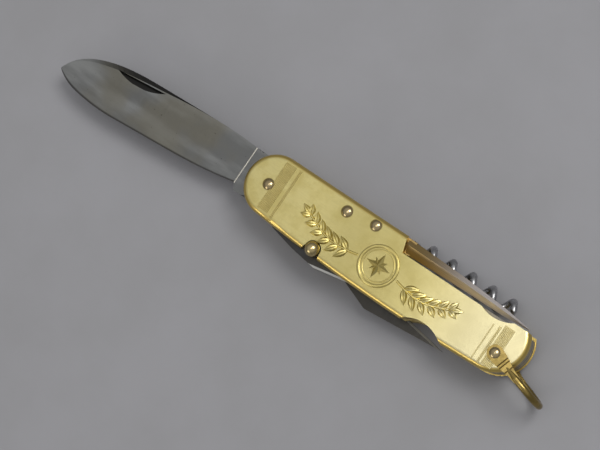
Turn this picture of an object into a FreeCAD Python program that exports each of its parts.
"""Folding knife with stamped brass scales, three blades on the belly side, a marlinspike and a
corkscrew on the back, and a brass bail.

Everything is drawn in millimetres around the blade pin, with X along the handle towards the bail,
Y towards the back and Z up through the front scale. At the end all pieces are moved together, so
that the origin is the centre of the footprint and the knife lies on z = 0.
"""
import FreeCAD, Part
import math
import os

import Sketcher

Vector = FreeCAD.Vector
UP = Vector(0, 0, 1)

# ---------------------------------------------------------------------------------------------
# Driving dimensions
# ---------------------------------------------------------------------------------------------
SIZES = [
    # handle outline
    ("handle_length", 102.2, "end to end over the scales"),
    ("pivot_to_left_end", 8.4, "blade pin to the rounded blade end"),
    ("pivot_to_back", 10.4, "blade pin to the straight back edge"),
    ("left_end_radius", 9.9, "rounding of the blade end"),
    ("right_end_radius", 10.3, "rounding of the bail end"),
    ("belly_radius", 580.0, "slight swell of the belly edge"),
    # stack of layers
    ("scale_height", 1.9, "depth of a stamped scale over its rolled edge"),
    ("scale_wall", 0.7, "sheet thickness of a scale"),
    ("scale_roll", 1.7, "radius of the rolled edge"),
    ("scale_skirt", 1.0, "wall left round the hollow of a scale"),
    ("liner_thickness", 0.6, "brass liner sheet"),
    ("liner_inset", 0.3, "liners stop this far inside the scales"),
    ("side_play", 0.05, "gap between a tool and each liner"),
    ("can_opener_thickness", 2.4, "rear layer tool and corkscrew tang"),
    ("main_blade_thickness", 2.6, "middle layer blade at its back"),
    ("punch_thickness", 2.2, "front layer tools"),
    # pins
    ("pin_radius", 1.1, "shaft of every pin"),
    ("pin_head_radius", 1.65, "domed pin head"),
    ("pin_head_height", 0.65, "height of a domed head"),
    ("running_clearance", 0.04, "radial play of a tool on its pin"),
    ("spring_pin_x", 25.6, "middle pin, along the handle"),
    ("spring_pin_y", 6.3, "middle pin, towards the back"),
    ("back_pin_x", 35.5, "spike and corkscrew pin, along the handle"),
    ("back_pin_y", 7.6, "spike and corkscrew pin, towards the back"),
    ("bail_pin_to_end", 7.5, "bail pin to the bail end of the handle"),
    ("bail_pin_y", -3.9, "bail pin, towards the belly"),
    # cut-outs in the scales and liners
    ("cutout_start", 46.9, "step where the back cut-out begins"),
    ("cutout_slant", 1.6, "how far the step leans"),
    ("cutout_floor", 5.2, "inner edge of the back cut-out"),
    ("cutout_land", 6.2, "higher edge beyond the nail scoop"),
    ("nail_scoop_start", 18.6, "back nail scoop begins, from the bail end"),
    ("nail_scoop_end", 7.7, "back nail scoop ends, from the bail end"),
    ("nail_scoop_drop", 0.9, "nail scoop below the cut-out floor"),
    ("belly_scoop_x", 64.2, "middle of the belly scoop"),
    ("belly_scoop_y", -8.3, "deepest point of the belly scoop"),
    ("belly_scoop_radius", 10.9, "radius of the belly scoop"),
    ("liner_notch_start", 44.0, "liners are cut back from here for the worm"),
    # tangs and springs
    ("tang_radius", 5.0, "round tang of the three belly tools"),
    ("spring_gap", 0.15, "spring to tang"),
    ("spring_left", 5.5, "spring nose reaches this far past the blade pin"),
    ("spring_inset", 0.3, "springs stop this far inside the scales"),
    ("kick_relief_height", 6.55, "underside of the spring over the kick"),
    ("kick_relief_start", 5.6, "kick relief begins"),
    ("kick_relief_end", 13.8, "kick relief ends"),
    ("spring_underside", 3.6, "underside of the spring body and tail"),
    ("tail_top", 5.2, "top of the spring tail, under the worm"),
    ("spring_shoulder", 31.4, "thick part of the spring ends here"),
    ("eye_radius", 2.5, "eye of the spike and the corkscrew"),
    ("eye_gap", 0.3, "spring to these eyes"),
    # main blade, drawn open
    ("blade_reach", 84.4, "blade pin to the point"),
    ("blade_shoulder", 11.8, "blade pin to the shoulder"),
    ("blade_back", 7.6, "back of the blade at the shoulder"),
    ("blade_heel", 5.2, "edge side of the blade at the shoulder"),
    ("blade_belly", 10.55, "lowest point of the cutting edge"),
    ("blade_point_drop", 6.1, "the point lies this far below the pin"),
    ("edge_thickness", 0.25, "thickness left at the cutting edge"),
    ("point_thickness", 0.6, "thickness left at the point"),
    ("swedge_width", 1.7, "widest part of the bevel along the back"),
    ("swedge_depth", 0.7, "depth of that bevel"),
    ("nick_start", 17.9, "point to the nail nick"),
    ("nick_length", 18.7, "length of the nail nick"),
    ("nick_depth", 0.75, "how much deeper the nail nick is along its straight side"),
    ("nick_below", 0.15, "least depth of the nail nick under the steel's full thickness"),
    ("shoulder_groove", 0.25, "depth of the groove between blade and tang"),
    ("file_notch", 0.4, "radius of the notches in the back of the tang"),
    ("nick_bulge", 1.95, "width of the nail nick"),
    ("nick_height", 3.4, "point end of the nail nick above the pin"),
    ("nick_climb", 1.75, "how much the nail nick climbs towards the tang"),
    ("kick_drop", 2.4, "kick below the heel of the blade"),
    ("kick_ramp", 1.2, "blade shoulder to the start of the kick"),
    ("kick_length", 3.0, "flat of the kick"),
    # punch, drawn closed
    ("punch_reach", 43.0, "blade pin to the punch point"),
    ("punch_hump", 13.3, "hump of the punch below the pin"),
    ("punch_bevel", 0.6, "ground bevel of the punch"),
    ("punch_heel_x", 8.0, "heel of the punch, along the handle"),
    ("punch_heel_y", 10.2, "heel of the punch below the pin"),
    ("punch_hump_start", 6.5, "hump of the punch begins this far before the knob"),
    ("punch_hump_rise", 1.2, "start of the hump above its lowest point"),
    ("punch_tip_length", 1.4, "length of the blunt punch point"),
    ("punch_tip_low", 2.9, "underside of the punch point above the hump"),
    ("punch_tip_high", 3.7, "punch point above the hump"),
    ("punch_back_reach", 6.0, "corners of the punch's back edge, each way from the knob"),
    ("punch_back_low", 6.4, "its far corner below the pin"),
    ("punch_back_high", 1.6, "its near corner below the pin"),
    ("knob_x", 23.2, "knob, along the handle"),
    ("knob_y", -8.8, "knob, towards the belly"),
    ("knob_radius", 2.4, "ball of the knob"),
    ("knob_neck", 1.0, "radius of the knob's neck"),
    ("knob_notch", 2.7, "radius of the notch round the knob"),
    ("knob_flare", 3.6, "the notch widens this much towards the blade end"),
    # can opener, drawn closed
    ("opener_reach", 71.2, "blade pin to the can opener's point"),
    ("opener_hump", 14.9, "hump of the can opener below the pin"),
    ("opener_point_drop", 12.3, "point of the can opener below the pin"),
    ("opener_bevel", 0.6, "ground bevel of the can opener"),
    ("opener_bite", 2.6, "radius of the hook's bite"),
    ("opener_bite_back", 21.0, "point to the middle of the bite"),
    ("opener_bite_rise", 8.6, "middle of the bite above the hump"),
    ("opener_edge", 14.4, "length of the can opener's cutting edge"),
    ("opener_edge_rise", 2.2, "inner end of that edge above the point"),
    ("opener_hump_end", 27.0, "point to the deepest part of the hump"),
    ("opener_hump_ramp", 10.0, "length of the ramp before the hump"),
    ("opener_hump_rise", 3.6, "start of that ramp above the hump"),
    ("opener_back_end", 30.0, "point to the far corner of the back edge"),
    ("opener_back_rise", 12.0, "that corner above the hump"),
    ("opener_neck_x", 16.0, "belly side of the neck, along the handle"),
    ("opener_neck_y", 7.6, "belly side of the neck below the pin"),
    ("opener_neck_width", 9.2, "width of the neck"),
    # marlinspike, drawn closed
    ("spike_reach", 54.4, "back pin to the spike point"),
    ("spike_shoulder", 11.7, "back pin to the tapered body, at the cut-out floor"),
    ("spike_width", 4.6, "width of the spike at its root"),
    ("spike_height", 3.7, "height of the spike at its root"),
    ("spike_lift", 2.5, "back edge of the spike above the pin axis"),
    # corkscrew, drawn closed
    ("worm_diameter", 6.6, "outside of the coils"),
    ("wire_radius", 1.15, "wire of the worm"),
    ("worm_pitch", 7.2, "one turn of the worm"),
    ("worm_turns", 5.0, "turns of the worm"),
    ("worm_start", 10.8, "back pin to the first turn"),
    ("worm_bend", 5.94, "back pin to the bend in the corkscrew's shank"),
    ("worm_offset", 1.7, "worm axis above the back pin"),
    ("worm_tip", 2.0, "length of the pointed tip"),
    # bail
    ("bail_reach", 19.5, "bail pin to the outside of the bow"),
    ("bail_rod_radius", 1.05, "round rod of the bow"),
    ("bail_strap", 1.0, "thickness of the flat arms"),
    ("bail_eye_radius", 2.4, "eye of a bail arm"),
    ("bail_strap_length", 9.4, "flat part of an arm"),
    ("bail_gap", 0.1, "bail arm to the scale"),
    ("bail_head_gap", 0.05, "pin head to the bail arm"),
    ("bail_angle", -17.4, "direction of the bail at rest, in degrees"),
    ("groove_depth", 0.25, "cross grooves on the bail arms"),
    ("groove_width", 0.4, "width of a cross groove"),
    ("first_groove", 3.3, "bail pin to the first groove"),
    ("second_groove", 4.2, "bail pin to the second groove"),
    ("third_groove", 6.2, "bail pin to the third groove"),
]

doc = FreeCAD.newDocument("folding_knife")
sheet = doc.addObject("Spreadsheet::Sheet", "Sizes")
for row, (alias, value, note) in enumerate(SIZES, start=1):
    sheet.set(f"A{row}", note)
    sheet.set(f"B{row}", str(value))
    sheet.setAlias(f"B{row}", alias)
doc.recompute()


def size(name):
    return float(sheet.get(name))


def total(*names):
    """The sum of some sizes, as a number. A name with a minus sign in front is taken away."""
    return sum(-size(n[1:]) if n.startswith("-") else size(n) for n in names)


def formula(*names):
    """The same sum as an expression, for a property that follows the sheet."""
    text = " ".join(f"- Sizes.{n[1:]}" if n.startswith("-") else f"+ Sizes.{n}" for n in names)
    return text.lstrip("+ ")


# ---------------------------------------------------------------------------------------------
# Levels of the stack, each a list of sizes added up from z = 0
# ---------------------------------------------------------------------------------------------
REAR_FACE = ["bail_gap", "bail_strap", "bail_head_gap", "pin_head_height"]
REAR_LINER = REAR_FACE + ["scale_height"]
REAR_LAYER = REAR_LINER + ["liner_thickness"]
REAR_DEPTH = ["can_opener_thickness", "side_play", "side_play"]
REAR_CENTRE_LINER = REAR_LAYER + REAR_DEPTH
MIDDLE_LAYER = REAR_CENTRE_LINER + ["liner_thickness"]
MIDDLE_DEPTH = ["main_blade_thickness", "side_play", "side_play"]
FRONT_CENTRE_LINER = MIDDLE_LAYER + MIDDLE_DEPTH
FRONT_LAYER = FRONT_CENTRE_LINER + ["liner_thickness"]
FRONT_DEPTH = ["punch_thickness", "side_play", "side_play"]
FRONT_LINER = FRONT_LAYER + FRONT_DEPTH
FRONT_SCALE = FRONT_LINER + ["liner_thickness"]
FRONT_FACE = FRONT_SCALE + ["scale_height"]

BLADE_PIN = Vector(0, 0, 0)
SPRING_PIN = Vector(size("spring_pin_x"), size("spring_pin_y"), 0)
BACK_PIN = Vector(size("back_pin_x"), size("back_pin_y"), 0)
BAIL_END = ["handle_length", "-pivot_to_left_end"]
BAIL_PIN_X = BAIL_END + ["-bail_pin_to_end"]
BAIL_PIN = Vector(total(*BAIL_PIN_X), size("bail_pin_y"), 0)
KNOB = Vector(size("knob_x"), size("knob_y"), 0)

PIN_SIZES = {
    "blade": None,
    "spring": (["spring_pin_x"], ["spring_pin_y"]),
    "back": (["back_pin_x"], ["back_pin_y"]),
    "bail": (BAIL_PIN_X, ["bail_pin_y"]),
}
ALL_PINS = ["blade", "spring", "back", "bail"]


# ---------------------------------------------------------------------------------------------
# Small helpers for sketches and features
# ---------------------------------------------------------------------------------------------
def line(start, end):
    return Part.LineSegment(Vector(*start), Vector(*end))


def polyline(points):
    """Closed chain of straight lines through the points."""
    return [line(a, b) for a, b in zip(points, points[1:] + points[:1])]


def arc(start, middle, end):
    return Part.Arc(Vector(*start), Vector(*middle), Vector(*end))


def new_body(name):
    body = doc.addObject("PartDesign::Body", name)
    body.Label = name
    return body


def add_sketch(body, name, geometry, level=None, plane="XY_Plane"):
    """A sketch on one of the body's own planes, lifted to a level of the stack."""
    sketch = body.newObject("Sketcher::SketchObject", name)
    support = next(item for item in body.Origin.OriginFeatures if item.Role == plane)
    sketch.AttachmentSupport = [(support, "")]
    sketch.MapMode = "FlatFace"
    if level:
        sketch.setExpression(".AttachmentOffset.Base.z", formula(*level))
    for piece in geometry:
        sketch.addGeometry(piece, False)
    return sketch


def add_circle(sketch, radius_sizes, centre_sizes=None):
    """A circle whose radius and centre follow the sheet."""
    radius = total(*radius_sizes)
    x, y = (total(*centre_sizes[0]), total(*centre_sizes[1])) if centre_sizes else (0.0, 0.0)
    index = sketch.addGeometry(Part.Circle(Vector(x, y, 0), UP, radius), False)
    row = sketch.addConstraint(Sketcher.Constraint("Radius", index, radius))
    sketch.setExpression(f"Constraints[{row}]", formula(*radius_sizes))
    if centre_sizes is None:
        sketch.addConstraint(Sketcher.Constraint("Coincident", index, 3, -1, 1))
        return
    for kind, names, value in (("DistanceX", centre_sizes[0], x), ("DistanceY", centre_sizes[1], y)):
        row = sketch.addConstraint(Sketcher.Constraint(kind, -1, 1, index, 3, value))
        sketch.setExpression(f"Constraints[{row}]", formula(*names))


def pad(body, name, sketch, depth):
    feature = body.newObject("PartDesign::Pad", name)
    feature.Profile = sketch
    feature.setExpression("Length", formula(*depth))
    doc.recompute()
    return feature


def pocket(body, name, sketch, depth=None, upwards=False):
    """A pocket down from its sketch, or up, and through everything where no depth is given."""
    before = body.Shape.Volume
    feature = body.newObject("PartDesign::Pocket", name)
    feature.Profile = sketch
    feature.Reversed = upwards
    if depth:
        feature.setExpression("Length", formula(*depth))
    else:
        feature.Type = "ThroughAll"
    doc.recompute()
    if not body.Shape.Volume < before - 1e-6:
        raise RuntimeError(f"{body.Label}: {name} cuts nothing")
    return feature


def drill(body, pins, top, clearance=()):
    """Round holes for some of the four pins, down from a level."""
    sketch = add_sketch(body, "pin_holes", [], top)
    for pin in pins:
        add_circle(sketch, ["pin_radius", *clearance], PIN_SIZES[pin])
    pocket(body, "pin_bores", sketch)


def edges_near(shape, test):
    """Names of the edges whose middle point passes the test."""
    names = []
    for index, edge in enumerate(shape.Edges, start=1):
        middle = edge.valueAt((edge.FirstParameter + edge.LastParameter) / 2)
        if test(middle, edge):
            names.append(f"Edge{index}")
    return names


# ---------------------------------------------------------------------------------------------
# Handle outline, shared by scales, liners and springs
# ---------------------------------------------------------------------------------------------
def end_centres():
    left = Vector(total("left_end_radius", "-pivot_to_left_end"),
                  total("pivot_to_back", "-left_end_radius"), 0)
    right = Vector(total("handle_length", "-pivot_to_left_end", "-right_end_radius"),
                   total("pivot_to_back", "-right_end_radius"), 0)
    return left, right


def belly_centre():
    """Centre of the long belly arc, which touches both end circles."""
    left, right = end_centres()
    to_left = total("belly_radius", "-left_end_radius")
    to_right = total("belly_radius", "-right_end_radius")
    span = (right - left).Length
    along = (to_left ** 2 - to_right ** 2 + span ** 2) / (2 * span)
    across = math.sqrt(to_left ** 2 - along ** 2)
    unit = (right - left).normalize()
    return left + unit * along + UP.cross(unit) * across


def outline_points(inset):
    left, right = end_centres()
    centre = belly_centre()
    left_radius = size("left_end_radius") - inset
    right_radius = size("right_end_radius") - inset
    belly = size("belly_radius") - inset
    low_left = centre + (left - centre).normalize() * belly
    low_right = centre + (right - centre).normalize() * belly
    low_middle = centre + ((low_left + low_right) / 2 - centre).normalize() * belly
    return {
        "top_left": left + Vector(0, left_radius, 0),
        "left": left - Vector(left_radius, 0, 0),
        "low_left": low_left,
        "low_middle": low_middle,
        "low_right": low_right,
        "right": right + Vector(right_radius, 0, 0),
        "top_right": right + Vector(0, right_radius, 0),
    }


def handle_outline(inset=0.0):
    p = outline_points(inset)
    return [
        Part.LineSegment(p["top_right"], p["top_left"]),
        Part.Arc(p["top_left"], p["left"], p["low_left"]),
        Part.Arc(p["low_left"], p["low_middle"], p["low_right"]),
        Part.Arc(p["low_right"], p["right"], p["top_right"]),
    ]


# ---------------------------------------------------------------------------------------------
# Scales and liners
# ---------------------------------------------------------------------------------------------
def back_cutout():
    """Open area at the back: a leaning step, a straight floor, a nail scoop and a land."""
    beyond = size("handle_length")
    above = size("pivot_to_back") + size("scale_height")
    step = size("cutout_start")
    floor = size("cutout_floor")
    land = size("cutout_land")
    lean = size("cutout_slant") * (above - floor) / (size("pivot_to_back") - floor)
    scoop_start = total(*BAIL_END, "-nail_scoop_start")
    scoop_end = total(*BAIL_END, "-nail_scoop_end")
    scoop_low = floor - size("nail_scoop_drop")
    scoop_middle = (scoop_start + scoop_end) / 2
    return [
        line((step - lean, above), (step, floor)),
        line((step, floor), (scoop_start, floor)),
        arc((scoop_start, floor), (scoop_middle, scoop_low), (scoop_end, land)),
        line((scoop_end, land), (beyond, land)),
        line((beyond, land), (beyond, above)),
        line((beyond, above), (step - lean, above)),
    ]


def cut_belly_scoop(body, top):
    sketch = add_sketch(body, "belly_scoop_sketch", [], top)
    centre = Vector(size("belly_scoop_x"), total("belly_scoop_y", "-belly_scoop_radius"), 0)
    sketch.addGeometry(Part.Circle(centre, UP, size("belly_scoop_radius")), False)
    pocket(body, "belly_scoop", sketch)


def cut_knob_notch(body, top):
    """Round notch on the belly edge that the knob leaves along an arc, so one side flares."""
    radius = size("knob_notch")
    outside = -size("punch_hump") - radius
    left = KNOB.x - radius
    right = KNOB.x + radius
    flare = left - size("knob_flare")
    geometry = [
        arc((right, KNOB.y), (KNOB.x, KNOB.y + radius), (left, KNOB.y)),
        line((left, KNOB.y), (flare, outside)),
        line((flare, outside), (right, outside)),
        line((right, outside), (right, KNOB.y)),
    ]
    pocket(body, "knob_notch", add_sketch(body, "knob_notch_sketch", geometry, top))


def hollow_outline():
    """Inside of a stamped shell, clear of the back cut-out and the belly scoop by the skirt."""
    skirt = size("scale_skirt")
    p = outline_points(skirt)
    right = end_centres()[1]
    radius = size("right_end_radius") - skirt
    centre = belly_centre()
    step = size("cutout_start") - size("cutout_slant") - skirt
    high = total("cutout_floor", "-nail_scoop_drop") - skirt
    low = size("belly_scoop_y") + skirt
    scoop = size("belly_scoop_x") - size("belly_scoop_radius") + skirt
    high_x = right.x + math.sqrt(radius ** 2 - (high - right.y) ** 2)
    low_x = right.x + math.sqrt(radius ** 2 - (low - right.y) ** 2)
    belly_y = centre.y - math.sqrt((size("belly_radius") - skirt) ** 2 - (scoop - centre.x) ** 2)
    middle_x = (scoop + p["low_left"].x) / 2
    middle_y = centre.y - math.sqrt((size("belly_radius") - skirt) ** 2 - (middle_x - centre.x) ** 2)
    return [
        Part.LineSegment(Vector(step, p["top_left"].y, 0), p["top_left"]),
        Part.Arc(p["top_left"], p["left"], p["low_left"]),
        Part.Arc(p["low_left"], Vector(middle_x, middle_y, 0), Vector(scoop, belly_y, 0)),
        line((scoop, belly_y), (scoop, low)),
        line((scoop, low), (low_x, low)),
        arc((low_x, low), (right.x + radius, right.y), (high_x, high)),
        line((high_x, high), (step, high)),
        line((step, high), (step, p["top_left"].y)),
    ]


def make_scale(name, bottom, front):
    """Stamped brass shell: flat face, rolled edge, hollow towards the liner."""
    body = new_body(name)
    sketch = add_sketch(body, "outline", handle_outline(), bottom)
    block = pad(body, "block", sketch, ["scale_height"])
    top = bottom + ["scale_height"]
    face_level = total(*top) if front else total(*bottom)
    rolled = body.newObject("PartDesign::Fillet", "rolled_edge")
    rolled.Base = (block, edges_near(block.Shape, lambda m, e: abs(m.z - face_level) < 1e-3))
    rolled.setExpression("Radius", formula("scale_roll"))
    doc.recompute()
    hollow_level = bottom if front else top
    hollow = add_sketch(body, "hollow_sketch", hollow_outline(), hollow_level)
    pocket(body, "hollow", hollow, ["scale_height", "-scale_wall"], upwards=front)
    pocket(body, "back_cutout", add_sketch(body, "back_cutout_sketch", back_cutout(), top))
    cut_belly_scoop(body, top)
    if front:
        cut_knob_notch(body, top)
    drill(body, ALL_PINS, top)
    return body


def make_liner(name, bottom, front=False):
    body = new_body(name)
    sketch = add_sketch(body, "outline", handle_outline(size("liner_inset")), bottom)
    pad(body, "plate", sketch, ["liner_thickness"])
    top = bottom + ["liner_thickness"]
    if front:
        pocket(body, "back_cutout", add_sketch(body, "back_cutout_sketch", back_cutout(), top))
        cut_knob_notch(body, top)
    else:
        start = size("liner_notch_start")
        floor = size("cutout_floor")
        beyond = size("handle_length")
        above = size("pivot_to_back") + size("scale_height")
        corners = [(start, above), (start, floor), (beyond, floor), (beyond, above)]
        pocket(body, "worm_notch", add_sketch(body, "worm_notch_sketch", polyline(corners), top))
    cut_belly_scoop(body, top)
    drill(body, ALL_PINS, top)
    return body


make_scale("front_scale", FRONT_SCALE, front=True)
make_scale("rear_scale", REAR_FACE, front=False)
make_liner("front_liner", FRONT_LINER, front=True)
make_liner("front_centre_liner", FRONT_CENTRE_LINER)
make_liner("rear_centre_liner", REAR_CENTRE_LINER)
make_liner("rear_liner", REAR_LINER)


# ---------------------------------------------------------------------------------------------
# Backsprings
# ---------------------------------------------------------------------------------------------
def spring_outline():
    """Nose over the tang, relief for the kick, thick body, tail under the worm, end block."""
    inset = size("spring_inset")
    p = outline_points(inset)
    left, right = end_centres()
    left_radius = size("left_end_radius") - inset
    right_radius = size("right_end_radius") - inset
    nose_x = -size("spring_left")
    nose_y = left.y + math.sqrt(left_radius ** 2 - (nose_x - left.x) ** 2)
    nose_bend = left + Vector(-1, 1.9, 0).normalize() * left_radius
    under_nose = total("tang_radius", "spring_gap")
    relief = size("kick_relief_height")
    relief_start = size("kick_relief_start")
    relief_end = size("kick_relief_end")
    underside = size("spring_underside")
    tail = size("tail_top")
    back = p["top_left"].y
    shoulder = size("spring_shoulder")
    seat = total("eye_radius", "eye_gap")
    seat_low = BACK_PIN.y - seat
    seat_left = BACK_PIN.x - seat
    seat_bend = BACK_PIN + Vector(-1, -1, 0).normalize() * seat
    rise = size("back_pin_x") + seat
    block_top_x = right.x + math.sqrt(right_radius ** 2 - (tail - right.y) ** 2)
    block_low_x = BAIL_PIN.x + size("pin_radius")
    block_low_y = right.y - math.sqrt(right_radius ** 2 - (block_low_x - right.x) ** 2)
    block_left = BAIL_PIN.x - size("pin_radius") - inset
    return [
        line((nose_x, under_nose), (nose_x, nose_y)),
        arc((nose_x, nose_y), (nose_bend.x, nose_bend.y), (p["top_left"].x, back)),
        line((p["top_left"].x, back), (shoulder, back)),
        line((shoulder, back), (seat_left, BACK_PIN.y)),
        arc((seat_left, BACK_PIN.y), (seat_bend.x, seat_bend.y), (BACK_PIN.x, seat_low)),
        line((BACK_PIN.x, seat_low), (rise, tail)),
        line((rise, tail), (block_top_x, tail)),
        arc((block_top_x, tail), (p["right"].x, right.y), (block_low_x, block_low_y)),
        line((block_low_x, block_low_y), (block_left, size("bail_pin_y"))),
        line((block_left, size("bail_pin_y")), (block_left - tail, underside)),
        line((block_left - tail, underside), (relief_end, underside)),
        line((relief_end, underside), (relief_end, relief)),
        line((relief_end, relief), (relief_start, relief)),
        line((relief_start, relief), (relief_start, under_nose)),
        line((relief_start, under_nose), (nose_x, under_nose)),
    ]


def make_spring(name, bottom, depth):
    body = new_body(name)
    pad(body, "plate", add_sketch(body, "outline", spring_outline(), bottom), depth)
    drill(body, ["spring", "bail"], bottom + depth)
    return body


make_spring("front_backspring", FRONT_LAYER, FRONT_DEPTH)
make_spring("middle_backspring", MIDDLE_LAYER, MIDDLE_DEPTH)
make_spring("rear_backspring", REAR_LAYER, REAR_DEPTH)


def make_bush():
    """Spacer on the back pin between the spike and the corkscrew."""
    body = new_body("back_pin_bush")
    sketch = add_sketch(body, "ring", [], MIDDLE_LAYER)
    add_circle(sketch, ["eye_radius"], PIN_SIZES["back"])
    add_circle(sketch, ["pin_radius"], PIN_SIZES["back"])
    pad(body, "spacer", sketch, MIDDLE_DEPTH)
    return body


make_bush()


# ---------------------------------------------------------------------------------------------
# Pins with domed heads
# ---------------------------------------------------------------------------------------------
def make_pin(name, centre, low, high):
    """Shaft between two levels with a dome above and below, turned about its own axis."""
    body = new_body(name)
    shaft = size("pin_radius")
    head = size("pin_head_radius")
    dome = size("pin_head_height")
    # a point on the dome halfway round, from the radius of the sphere it belongs to
    ball = (head ** 2 + dome ** 2) / (2 * dome)
    half = math.asin(head / ball) / 2
    rise = ball * math.cos(half) - (ball - dome)
    out = ball * math.sin(half)
    geometry = [
        line((0, low - dome), (0, high + dome)),
        arc((0, high + dome), (out, high + rise), (head, high)),
        line((head, high), (shaft, high)),
        line((shaft, high), (shaft, low)),
        line((shaft, low), (head, low)),
        arc((head, low), (out, low - rise), (0, low - dome)),
    ]
    sketch = add_sketch(body, "profile", geometry, plane="XZ_Plane")
    turned = body.newObject("PartDesign::Revolution", "turned")
    turned.Profile = sketch
    turned.ReferenceAxis = (sketch, ["V_Axis"])
    turned.Angle = 360
    body.Placement.Base = Vector(centre.x, centre.y, 0)
    return body


make_pin("blade_pin", BLADE_PIN, total(*REAR_FACE), total(*FRONT_FACE))
make_pin("spring_pin", SPRING_PIN, total(*REAR_FACE), total(*FRONT_FACE))
make_pin("back_tool_pin", BACK_PIN, total(*REAR_FACE), total(*FRONT_FACE))
ARM = ["bail_gap", "bail_strap", "bail_head_gap"]
make_pin("bail_pin", BAIL_PIN, total("pin_head_height"), total(*FRONT_FACE, *ARM))


# ---------------------------------------------------------------------------------------------
# Main blade, open: flat ground between its back and its edge
# ---------------------------------------------------------------------------------------------
def spline(points):
    curve = Part.BSplineCurve()
    curve.interpolate([Vector(*point) for point in points])
    return curve.toShape()


def ground_blade():
    """Flat ground blade with a narrow swedge along the front of its back."""
    reach = -size("blade_reach")
    root = -size("blade_shoulder")
    length = root - reach
    back = size("blade_back")
    heel = -size("blade_heel")
    belly = -size("blade_belly")
    drop = -size("blade_point_drop")
    thick = size("main_blade_thickness") / 2
    edge = size("edge_thickness") / 2
    point = size("point_thickness") / 2
    blunt = edge * 2
    bevel = size("swedge_depth")
    # along the blade, drop of the back, share of the full thickness, share of the swedge
    stations = [
        (0.00, 0.1, 1.00, 0.00),
        (0.14, -0.2, 1.00, 0.02),
        (0.33, 0.2, 1.00, 0.12),
        (0.52, 0.75, 0.97, 0.65),
        (0.71, 1.85, 0.85, 1.00),
        (0.84, 4.1, 0.62, 0.85),
        (0.93, 7.3, 0.36, 0.45),
        (1.00, back - drop - blunt, 0.00, 0.03),
    ]

    def back_curve(side, width, depth):
        points = []
        for along, fall, share, swedge in stations:
            half = point + (thick - point) * share
            height = back - fall - width * max(swedge, 0.08)
            points.append((root - along * length, height, side * (half - depth * swedge * share)))
        return spline(points)

    def edge_curve(side):
        return spline([
            (root, heel, side * edge),
            (root - 0.10 * length, heel - 1.45, side * edge),
            (root - 0.27 * length, heel - 3.05, side * edge),
            (root - 0.45 * length, belly + 1.3, side * edge),
            (root - 0.60 * length, belly + 0.5, side * edge),
            (root - 0.72 * length, belly, side * edge),
            (root - 0.84 * length, belly + 0.45, side * edge),
            (root - 0.91 * length, belly + 1.25, side * edge),
            (root - 0.967 * length, belly + 2.75, side * edge),
            (reach, drop - blunt, side * edge),
        ])

    top = back_curve(1, 0, bevel)
    ridge = back_curve(1, size("swedge_width"), 0)
    under = back_curve(-1, 0, 0)
    edges = [edge_curve(1), edge_curve(-1)]
    loop = [top, ridge, edges[0], edges[1], under]
    faces = [Part.makeRuledSurface(a, b) for a, b in zip(loop, loop[1:] + loop[:1])]
    for parameter in ("FirstParameter", "LastParameter"):
        corners = [curve.valueAt(getattr(curve, parameter)) for curve in loop]
        faces.append(Part.Face(Part.makePolygon(corners + corners[:1])))
    shell = Part.makeShell(faces)
    shell.sewShape()
    solid = Part.makeSolid(shell)
    if solid.Volume < 0:
        solid.reverse()
    return solid


def tang_and_kick():
    """Round tang, neck and kick of the main blade, at full thickness."""
    thick = size("main_blade_thickness")
    half = Vector(0, 0, -thick / 2)
    root = -size("blade_shoulder")
    heel = -size("blade_heel")
    kick = heel - size("kick_drop")
    ramp = root + size("kick_ramp")
    nose = -total("spring_left", "eye_gap", "eye_gap")
    corners = [
        (-1.5, 4.2), (nose, 5.2), (nose, total("blade_back", "-spring_gap")),
        (root - 0.2, total("blade_back", "-spring_gap")), (root - 0.2, heel - 0.1),
        (ramp, kick), (ramp + size("kick_length"), kick + 0.1), (-2.0, -3.9),
    ]
    wire = Part.makePolygon([Vector(x, y, 0) for x, y in corners + corners[:1]])
    neck = Part.Face(wire).extrude(Vector(0, 0, thick)).translate(half)
    disc = Part.makeCylinder(size("tang_radius"), thick, half)
    return disc.fuse(neck).removeSplitter()


def nail_nick():
    """Crescent with a straight upper side, cut by a leaning cutter: deepest along that side."""
    reach = -size("blade_reach")
    left = Vector(reach + size("nick_start"), size("nick_height"), 0)
    right = left + Vector(size("nick_length"), size("nick_climb"), 0)
    middle = (left + right) / 2 - Vector(0, size("nick_bulge"), 0)
    outline = Part.Wire([Part.LineSegment(left, right).toShape(),
                         Part.Arc(right, middle, left).toShape()])
    cutter = Part.Face(outline).extrude(UP * size("main_blade_thickness"))
    lean = math.degrees(math.atan(size("nick_depth") / size("nick_bulge")))
    cutter.rotate(left, right - left, -lean)
    floor = size("main_blade_thickness") / 2 - size("nick_depth") - size("nick_below")
    return cutter.translate(UP * floor)


def shoulder_groove():
    """Fine groove across the front of the steel where the grinding stops at the tang."""
    thick = size("main_blade_thickness") / 2
    x = -size("blade_shoulder")
    width = size("shoulder_groove")
    section = [Vector(x, 0, thick - width), Vector(x + width, 0, thick + 0.1),
               Vector(x - width, 0, thick + 0.1)]
    face = Part.Face(Part.makePolygon(section + section[:1]))
    reach = 2 * size("blade_back")
    return face.extrude(Vector(0, 2 * reach, 0)).translate(Vector(0, -reach, 0))


def back_notches():
    """File work: small round notches across the back, over the tang."""
    thick = size("main_blade_thickness")
    radius = size("file_notch")
    top = size("blade_back")
    first = -size("blade_shoulder") + 3 * radius
    return [Part.makeCylinder(radius, 2 * thick, Vector(first + 3 * radius * step, top, -thick))
            for step in range(2)]


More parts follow.
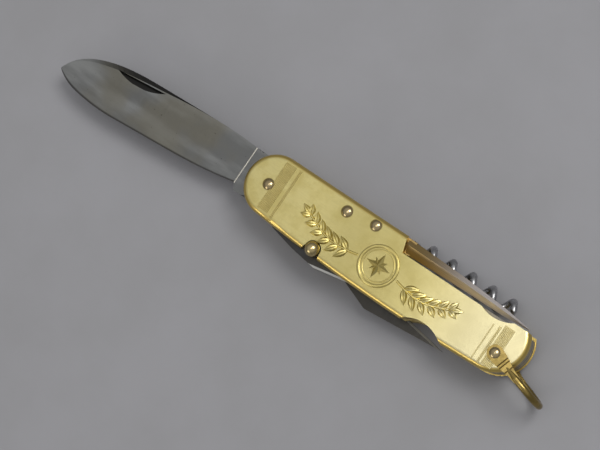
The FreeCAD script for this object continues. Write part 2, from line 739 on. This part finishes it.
def make_main_blade():
    steel = ground_blade().fuse(tang_and_kick())
    bore = size("pin_radius") + size("running_clearance")
    thick = size("main_blade_thickness")
    steel = steel.cut(Part.makeCylinder(bore, 2 * thick, Vector(0, 0, -thick)))
    steel = steel.cut([nail_nick(), shoulder_groove(), *back_notches()])
    feature = doc.addObject("Part::Feature", "main_blade")
    feature.Label = "main_blade"
    feature.Shape = steel
    feature.Placement.Base = Vector(0, 0, total(*MIDDLE_LAYER) + sum(map(size, MIDDLE_DEPTH)) / 2)
    return feature


make_main_blade()


# ---------------------------------------------------------------------------------------------
# Punch with its knob, and can opener, both closed
# ---------------------------------------------------------------------------------------------
def tang_arc(start_angle, end_angle):
    """Part of the round tang, anticlockwise between two angles in degrees."""
    radius = size("tang_radius")
    middle = (start_angle + end_angle) / 2
    at = [(radius * math.cos(math.radians(a)), radius * math.sin(math.radians(a)))
          for a in (start_angle, middle, end_angle)]
    return arc(*at), at[0], at[2]


def chain(points):
    return [line(a, b) for a, b in zip(points, points[1:])]


def make_flat_tool(name, outline, bottom, thickness, bevel, on_bevel):
    """A flat forged tool on the blade pin with one bevel ground on its front side."""
    body = new_body(name)
    base = bottom + ["side_play"]
    plate = pad(body, "plate", add_sketch(body, "outline", outline, base), [thickness])
    top = total(*base, thickness)
    ground = body.newObject("PartDesign::Chamfer", "ground_bevel")
    picked = edges_near(plate.Shape, lambda m, e: abs(m.z - top) < 1e-3 and on_bevel(m, e))
    ground.Base = (plate, picked)
    ground.setExpression("Size", formula(bevel))
    doc.recompute()
    drill(body, ["blade"], base + [thickness], ["running_clearance"])
    return body


def punch_outline():
    reach = size("punch_reach")
    hump = -size("punch_hump")
    heel_x = size("punch_heel_x")
    heel_y = -size("punch_heel_y")
    rise = size("punch_hump_rise")
    back = size("punch_back_reach")
    tang, tang_start, tang_end = tang_arc(40, 290)
    points = [
        tang_end,
        (heel_x - 1.6, heel_y + 1.8),
        (heel_x, heel_y),
        (KNOB.x - size("punch_hump_start"), hump + rise),
        (KNOB.x + 2.5, hump),
        (reach - size("punch_tip_length"), hump + size("punch_tip_low")),
        (reach, hump + size("punch_tip_high")),
        (KNOB.x + back, -size("punch_back_low")),
        (KNOB.x - back, -size("punch_back_high")),
        tang_start,
    ]
    return [tang, *chain(points)]


def opener_outline():
    reach = size("opener_reach")
    hump = -size("opener_hump")
    point = -size("opener_point_drop")
    bite = size("opener_bite")
    bite_x = reach - size("opener_bite_back")
    bite_y = hump + size("opener_bite_rise")
    hump_x = reach - size("opener_hump_end")
    neck_x = size("opener_neck_x")
    neck_y = -size("opener_neck_y")
    tang, tang_start, tang_end = tang_arc(35, 285)
    below = [
        tang_end,
        (neck_x, neck_y),
        (hump_x - size("opener_hump_ramp"), hump + size("opener_hump_rise")),
        (hump_x, hump),
        (reach, point),
        (reach - size("opener_edge"), point + size("opener_edge_rise")),
        (bite_x + bite, bite_y),
    ]
    above = [
        (bite_x - bite, bite_y),
        (reach - size("opener_back_end"), hump + size("opener_back_rise")),
        (neck_x + 2.0, neck_y + size("opener_neck_width")),
        tang_start,
    ]
    hook = arc((bite_x + bite, bite_y), (bite_x, bite_y - bite), (bite_x - bite, bite_y))
    return [tang, *chain(below), hook, *chain(above)]


make_flat_tool("punch", punch_outline(), FRONT_LAYER, "punch_thickness", "punch_bevel",
               lambda m, e: m.x > size("knob_x") + 4 and m.y < -size("punch_hump") + 2.4)
make_flat_tool("can_opener", opener_outline(), REAR_LAYER, "can_opener_thickness", "opener_bevel",
               lambda m, e: m.x > size("opener_reach") - 15 and m.y > -size("opener_point_drop"))


def make_knob():
    """Ball on a neck, riveted to the punch, that the thumb pushes."""
    body = new_body("punch_knob")
    low = total(*FRONT_LAYER, "side_play", "punch_thickness")
    middle = total(*FRONT_FACE)
    ball = size("knob_radius")
    neck = size("knob_neck")
    meet = middle - math.sqrt(ball ** 2 - neck ** 2)
    geometry = [
        line((0, low), (0, middle + ball)),
        arc((0, middle + ball), (ball, middle), (neck, meet)),
        line((neck, meet), (neck, low)),
        line((neck, low), (0, low)),
    ]
    sketch = add_sketch(body, "profile", geometry, plane="XZ_Plane")
    turned = body.newObject("PartDesign::Revolution", "turned")
    turned.Profile = sketch
    turned.ReferenceAxis = (sketch, ["V_Axis"])
    turned.Angle = 360
    body.Placement.Base = KNOB
    return body


make_knob()


# ---------------------------------------------------------------------------------------------
# Marlinspike, closed: a tang on the back pin and a tapered, ridged body
# ---------------------------------------------------------------------------------------------
def spike_section(body, name, along, low, high, height, lean=0.0):
    """Five-sided section across the spike, with its ridge nearer the back edge."""
    ridge = low + 0.58 * (high - low)
    side = 0.55 * height
    corners = [(low, 0), (high, 0), (high, side * 0.8), (ridge, height), (low, side)]
    on_plane = [(across / math.cos(lean), up) for across, up in corners]
    sketch = add_sketch(body, name, polyline(on_plane), plane="YZ_Plane")
    turn = FreeCAD.Rotation(Vector(0, 1, 0), math.degrees(lean))
    sketch.AttachmentOffset = FreeCAD.Placement(Vector(0, 0, along), turn)
    return sketch


def make_spike():
    body = new_body("marlinspike")
    lift = size("spike_lift")
    low = lift - size("spike_width")
    start = size("spike_shoulder")
    reach = size("spike_reach")
    radius = size("eye_radius")
    inside = start + radius / 2
    eye = arc((0, radius), (-radius, 0), (0, -radius))
    outline = [eye, line((0, -radius), (radius, low)), line((radius, low), (inside, low)),
               line((inside, low), (inside, lift)), line((inside, lift), (radius, lift)),
               line((radius, lift), (0, radius))]
    pad(body, "tang", add_sketch(body, "tang_outline", outline), ["punch_thickness"])
    height = size("spike_height")
    run = reach - start
    floor = total("cutout_floor", "-back_pin_y")
    slope = size("cutout_slant") / total("pivot_to_back", "-cutout_floor")
    stations = [
        ("root", start + slope * floor, low, lift, height, math.atan(slope)),
        ("middle", start + 0.45 * run, low + 0.55, lift - 0.65, 0.80 * height),
        ("neck", start + 0.80 * run, low + 0.75, lift - 1.65, 0.55 * height),
        ("point", reach, low + 1.45, low + 1.75, 0.18 * height),
    ]
    sections = [spike_section(body, *station) for station in stations]
    taper = body.newObject("PartDesign::AdditiveLoft", "taper")
    taper.Profile = sections[0]
    taper.Sections = sections[1:]
    taper.Ruled = True
    doc.recompute()
    bore = add_sketch(body, "bore", [])
    add_circle(bore, ["pin_radius", "running_clearance"])
    pocket(body, "pin_bore", bore, upwards=True)
    body.Placement.Base = BACK_PIN + UP * total(*FRONT_LAYER, "side_play")
    return body


make_spike()


# ---------------------------------------------------------------------------------------------
# Corkscrew, closed: a flat tang on the back pin, a round shank and the worm
# ---------------------------------------------------------------------------------------------
def origin_axis(body, role):
    return next(item for item in body.Origin.OriginFeatures if item.Role == role)


def shifted(sketch, along):
    """Moves a sketch along the normal of its plane."""
    sketch.AttachmentOffset = FreeCAD.Placement(Vector(0, 0, along), FreeCAD.Rotation())
    return sketch


def make_corkscrew():
    """The worm's axis is the body's own X axis; the eye lies below it."""
    body = new_body("corkscrew")
    wire = size("wire_radius")
    coil = size("worm_diameter") / 2 - wire
    start = size("worm_start")
    eye_y = -size("worm_offset")
    radius = size("eye_radius")
    thick = size("can_opener_thickness")
    bar = size("worm_bend")

    section = add_sketch(body, "wire_section", [], plane="XZ_Plane")
    index = section.addGeometry(Part.Circle(Vector(start, coil, 0), UP, wire), False)
    row = section.addConstraint(Sketcher.Constraint("Radius", index, wire))
    section.setExpression(f"Constraints[{row}]", "Sizes.wire_radius")
    worm = body.newObject("PartDesign::AdditiveHelix", "worm")
    worm.Profile = section
    worm.ReferenceAxis = (origin_axis(body, "X_Axis"), [""])
    worm.Mode = "pitch-turns-angle"
    worm.setExpression("Pitch", "Sizes.worm_pitch")
    worm.setExpression("Turns", "Sizes.worm_turns")
    doc.recompute()

    elbow = body.newObject("PartDesign::AdditiveSphere", "elbow")
    elbow.setExpression("Radius", "Sizes.wire_radius * 1.06")
    elbow.Placement.Base = Vector(start, 0, coil)
    doc.recompute()
    crank = add_sketch(body, "crank_section", [])
    crank.addGeometry(Part.Circle(Vector(start, 0, 0), UP, wire * 1.03), False)
    arm = pad(body, "crank", crank, ["worm_diameter"])
    arm.setExpression("Length", "Sizes.worm_diameter / 2 - Sizes.wire_radius")
    shank = shifted(add_sketch(body, "shank_section", [], plane="YZ_Plane"), bar - wire)
    add_circle(shank, ["wire_radius"])
    rod = pad(body, "shank", shank, ["worm_start"])
    rod.setExpression("Length", "Sizes.worm_start * 0.45 + 2 * Sizes.wire_radius")
    eye = arc((0, eye_y + radius), (-radius, eye_y), (0, eye_y - radius))
    outline = [eye, line((0, eye_y - radius), (bar, -wire)), line((bar, -wire), (bar, wire)),
               line((bar, wire), (0, eye_y + radius))]
    tang = shifted(add_sketch(body, "tang_outline", outline), -thick / 2)
    pad(body, "tang", tang, ["can_opener_thickness"])

    tip = body.newObject("PartDesign::AdditiveCone", "tip")
    tip.setExpression("Radius1", "Sizes.wire_radius * 0.96")
    tip.Radius2 = 0.1
    tip.setExpression("Height", "Sizes.worm_tip + Sizes.wire_radius / 4")
    heading = Vector(size("worm_pitch") / (2 * math.pi), -coil, 0).normalize()
    end = Vector(start + size("worm_pitch") * size("worm_turns"), 0, coil)
    tip.Placement = FreeCAD.Placement(end - heading * wire / 4, FreeCAD.Rotation(UP, heading))
    doc.recompute()
    bore = shifted(add_sketch(body, "bore", []), thick)
    bore_radius = total("pin_radius", "running_clearance")
    bore.addGeometry(Part.Circle(Vector(0, eye_y, 0), UP, bore_radius), False)
    pocket(body, "pin_bore", bore)
    level = total(*REAR_LAYER) + sum(map(size, REAR_DEPTH)) / 2
    body.Placement.Base = BACK_PIN + Vector(0, size("worm_offset"), level)
    return body


make_corkscrew()


# ---------------------------------------------------------------------------------------------
# Bail: one rod bent over the end of the handle, flattened into an eye at each end
# ---------------------------------------------------------------------------------------------
def add_bail_arm(body, name, level, ridge):
    """Flat arm with an eye that narrows to the rod, and a cone that swells into the rod."""
    eye = size("bail_eye_radius")
    rod = size("bail_rod_radius")
    flat = size("bail_strap_length")
    strap = size("bail_strap")
    wide = flat * 0.3
    slim = flat * 0.8
    end = flat + rod
    outline = [
        arc((0, eye), (-eye, 0), (0, -eye)),
        line((0, -eye), (wide, -eye * 0.9)),
        line((wide, -eye * 0.9), (slim, -rod * 1.15)),
        line((slim, -rod * 1.15), (end, -rod * 0.95)),
        line((end, -rod * 0.95), (end, rod * 0.95)),
        line((end, rod * 0.95), (slim, rod * 1.15)),
        line((slim, rod * 1.15), (wide, eye * 0.9)),
        line((wide, eye * 0.9), (0, eye)),
    ]
    sketch = shifted(add_sketch(body, f"{name}_arm_outline", outline), level - strap / 2)
    pad(body, f"{name}_arm", sketch, ["bail_strap"])
    swell = body.newObject("PartDesign::AdditiveCone", f"{name}_swell")
    swell.setExpression("Radius1", "Sizes.bail_strap / 2")
    swell.setExpression("Radius2", "Sizes.bail_rod_radius")
    swell.setExpression("Height", "Sizes.bail_strap_length * 0.45")
    start = Vector(flat * 0.55, 0, level)
    swell.Placement = FreeCAD.Placement(start, FreeCAD.Rotation(UP, Vector(1, 0, 0)))
    doc.recompute()
    grooves = []
    width = size("groove_width")
    for along in (size("first_groove"), size("second_groove"), size("third_groove")):
        grooves += polyline([(along, -eye), (along + width, -eye), (along + width, eye),
                             (along, eye)])
    cuts = shifted(add_sketch(body, f"{name}_groove_lines", grooves), level + ridge)
    pocket(body, f"{name}_grooves", cuts, ["groove_depth"], upwards=ridge < 0)


def make_bail():
    """Drawn about the bail pin, pointing along X, halfway up the handle."""
    body = new_body("bail")
    strap = size("bail_strap")
    middle = total(*REAR_FACE) + (total(*FRONT_FACE) - total(*REAR_FACE)) / 2
    arm_level = total(*FRONT_FACE) - middle + size("bail_gap") + strap / 2
    rod = size("bail_rod_radius")
    flat = size("bail_strap_length")
    bend = size("bail_reach") - rod - arm_level
    path = add_sketch(body, "path", [
        line((flat, arm_level), (bend, arm_level)),
        arc((bend, arm_level), (bend + arm_level, 0), (bend, -arm_level)),
        line((bend, -arm_level), (flat, -arm_level)),
    ], plane="XZ_Plane")
    section = shifted(add_sketch(body, "rod_section", [], plane="YZ_Plane"), flat)
    index = section.addGeometry(Part.Circle(Vector(0, arm_level, 0), UP, rod), False)
    row = section.addConstraint(Sketcher.Constraint("Radius", index, rod))
    section.setExpression(f"Constraints[{row}]", "Sizes.bail_rod_radius")
    bow = body.newObject("PartDesign::AdditivePipe", "bow")
    bow.Profile = section
    bow.Spine = (path, [])
    doc.recompute()
    add_bail_arm(body, "front", arm_level, strap / 2)
    add_bail_arm(body, "rear", -arm_level, -strap / 2)
    # the inside of both arms stays flat as far as the rod, so that they pass over the scales
    inside = arm_level - strap / 2
    eye = size("bail_eye_radius")
    clear = add_sketch(body, "inside_outline", polyline([
        (flat * 0.5, -eye), (flat, -eye), (flat, eye), (flat * 0.5, eye)]))
    between_faces = FRONT_FACE[len(REAR_FACE):]
    pocket(body, "inside_relief", shifted(clear, inside), between_faces + ["bail_gap"] * 2)
    bore = shifted(add_sketch(body, "bore", []), 2 * arm_level)
    add_circle(bore, ["pin_radius", "running_clearance"])
    pocket(body, "pin_bore", bore)
    turn = FreeCAD.Rotation(UP, size("bail_angle"))
    body.Placement = FreeCAD.Placement(BAIL_PIN + UP * middle, turn)
    return body


make_bail()


# ---------------------------------------------------------------------------------------------
# Check, move to the final frame and write
# ---------------------------------------------------------------------------------------------
doc.recompute()
for item in doc.Objects:
    if "Invalid" in item.State or "Error" in item.State:
        raise RuntimeError(f"{item.Label} did not build: {item.State}")

pieces = [item for item in doc.Objects
          if item.TypeId == "PartDesign::Body" or item.TypeId == "Part::Feature"]
for item in pieces:
    if item.Shape.isNull() or not item.Shape.isValid():
        raise RuntimeError(f"{item.Label} is not a valid solid")

box = FreeCAD.BoundBox()
for item in pieces:
    box.add(item.Shape.optimalBoundingBox(True, False))
shift = Vector(-box.Center.x, -box.Center.y, -box.ZMin)
for item in pieces:
    item.Placement.Base = item.Placement.Base + shift
doc.recompute()

os.makedirs("parts", exist_ok=True)
for item in pieces:
    item.Shape.exportStep(f"parts/{item.Label}.step")
    print(f"{item.Label:20s} {len(item.Shape.Solids)} solid(s) {item.Shape.Volume:9.2f} mm3")
print("blade pin at", round(shift.x, 4), round(shift.y, 4), "lift", round(shift.z, 4))
print("size", round(box.XLength, 3), round(box.YLength, 3), round(box.ZLength, 3))
